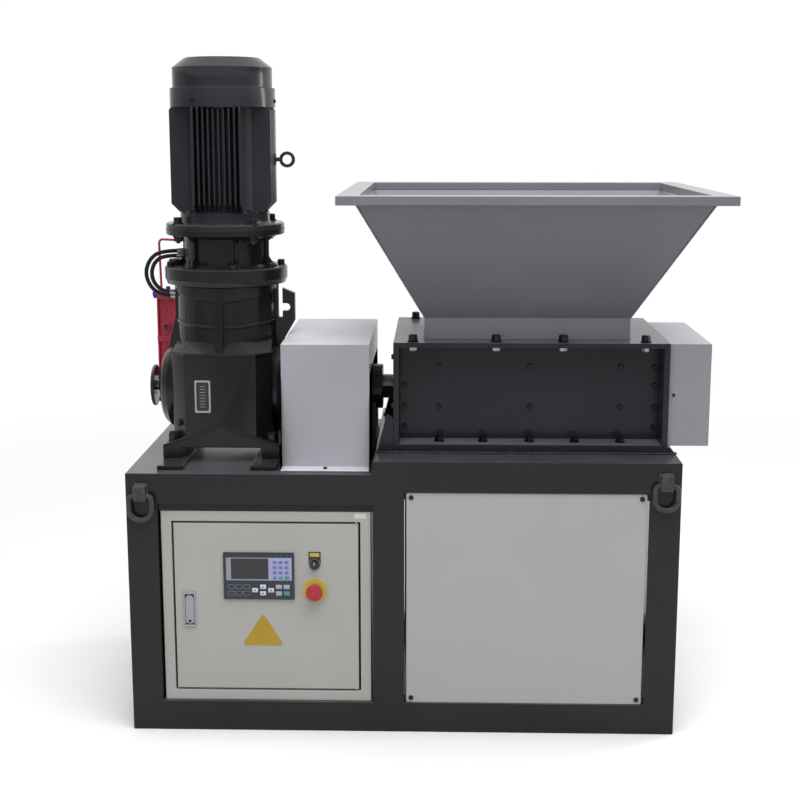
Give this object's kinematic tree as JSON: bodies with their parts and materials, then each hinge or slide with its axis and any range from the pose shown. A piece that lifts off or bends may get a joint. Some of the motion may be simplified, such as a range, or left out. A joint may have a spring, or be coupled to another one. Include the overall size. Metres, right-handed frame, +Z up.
{
  "type": "twin-shaft shredder",
  "caption": "Twin-shaft shredder on a welded steel frame, with a vertical gear motor, a square hopper and a front control cabinet.",
  "frame": {"origin": "bottom centre of the whole machine, on the floor", "axes": "+X to the operator's right, +Y away from the operator, +Z up"},
  "size_m": [1.406, 0.88, 1.621],
  "materials": {
    "frame_paint": "satin",
    "panel_grey": "satin",
    "cover_grey": "satin",
    "hopper_grey": "satin",
    "chamber_paint": "satin",
    "drive_paint": "gloss",
    "red_paint": "gloss",
    "zinc_steel": "satin",
    "tool_steel": "matte",
    "black_rubber": "matte",
    "black_plastic": "matte",
    "yellow_plastic": "satin",
    "red_plastic": "gloss",
    "blue_plastic": "satin"
  },
  "bodies": {
    "machine": {"posts": "frame_paint", "bottom_rails": "frame_paint", "top_rails": "frame_paint", "drive_deck": "frame_paint", "chamber_deck": "frame_paint", "front_panel": "panel_grey", "side_panels": "panel_grey", "panel_tabs": "frame_paint", "cabinet_box": "panel_grey", "cabinet_top_bar": "frame_paint", "backing_plate": "zinc_steel", "door_hinge_pins": "zinc_steel", "lifting_brackets": "frame_paint", "mounting_pads": "drive_paint", "gearbox_housing": "drive_paint", "gearbox_side_covers": "drive_paint", "motor_adapter": "drive_paint", "motor_flange": "drive_paint", "motor_body": "drive_paint", "fan_cowl": "drive_paint", "motor_eye_bolt": "drive_paint", "terminal_box": "drive_paint", "lifting_lug": "drive_paint", "oil_tank": "red_paint", "tank_tap": "blue_plastic", "tank_stay": "red_paint", "breather_valve": "drive_paint", "hose_outer": "black_rubber", "hose_inner": "black_rubber", "bearing_pedestal": "frame_paint", "coupling_cover": "cover_grey", "end_plates": "chamber_paint", "chamber_walls": "chamber_paint", "chamber_base_bars": "chamber_paint", "hopper_flange": "chamber_paint", "scraper_combs": "tool_steel", "gussets": "chamber_paint", "end_cover": "cover_grey", "hopper_neck": "hopper_grey", "hopper_long_walls": "hopper_grey", "hopper_end_walls": "hopper_grey", "hopper_rim": "hopper_grey"},
    "door": {"cabinet_door": "panel_grey", "door_hinge_barrels": "zinc_steel", "operator_panel": "black_plastic", "switch_plates": "yellow_plastic", "latch_housing": "zinc_steel"},
    "latch": {"latch_lever": "zinc_steel"},
    "estop": {"estop_button": "red_plastic"},
    "selector": {"selector_knob": "black_plastic"},
    "ring_left": {"lifting_ring_left": "frame_paint"},
    "ring_right": {"lifting_ring_right": "frame_paint"},
    "drive_rotor": {"indicator_disc": "drive_paint", "coupling": "drive_paint", "front_rotor": "tool_steel"},
    "rear_rotor": {"rear_rotor": "tool_steel"}
  },
  "joints": [
    {"name": "door_hinge", "type": "hinge", "parent": "machine", "child": "door", "pos_m": [-0.1535, -0.32, 0.105], "axis": [0, 0, 1], "range_deg": [0, 110]},
    {"name": "latch_pivot", "type": "hinge", "parent": "door", "child": "latch", "pos_m": [-0.558, -0.325, 0.2734], "axis": [1, 0, 0], "range_deg": [0, 30]},
    {"name": "estop_push", "type": "slide", "parent": "door", "child": "estop", "axis": [0, 1, 0], "range_m": [0, 0.005]},
    {"name": "selector_turn", "type": "hinge", "parent": "door", "child": "selector", "pos_m": [-0.2535, -0.335, 0.422], "axis": [0, 1, 0], "range_deg": [-45, 45]},
    {"name": "ring_left_swing", "type": "hinge", "parent": "machine", "child": "ring_left", "pos_m": [-0.6655, -0.349, 0.594], "axis": [-1, 0, 0], "range_deg": [0, 160]},
    {"name": "ring_right_swing", "type": "hinge", "parent": "machine", "child": "ring_right", "pos_m": [0.5795, -0.349, 0.626], "axis": [-1, 0, 0], "range_deg": [0, 160]},
    {"name": "front_shaft", "type": "hinge", "parent": "machine", "child": "drive_rotor", "pos_m": [-0.043, -0.065, 0.812], "axis": [1, 0, 0], "continuous": true},
    {"name": "rear_shaft", "type": "hinge", "parent": "machine", "child": "rear_rotor", "pos_m": [0.257, 0.065, 0.812], "axis": [1, 0, 0], "continuous": true}
  ],
  "couplings": [
    {"joint": "rear_shaft", "follows": "front_shaft", "ratio": -1}
  ]
}
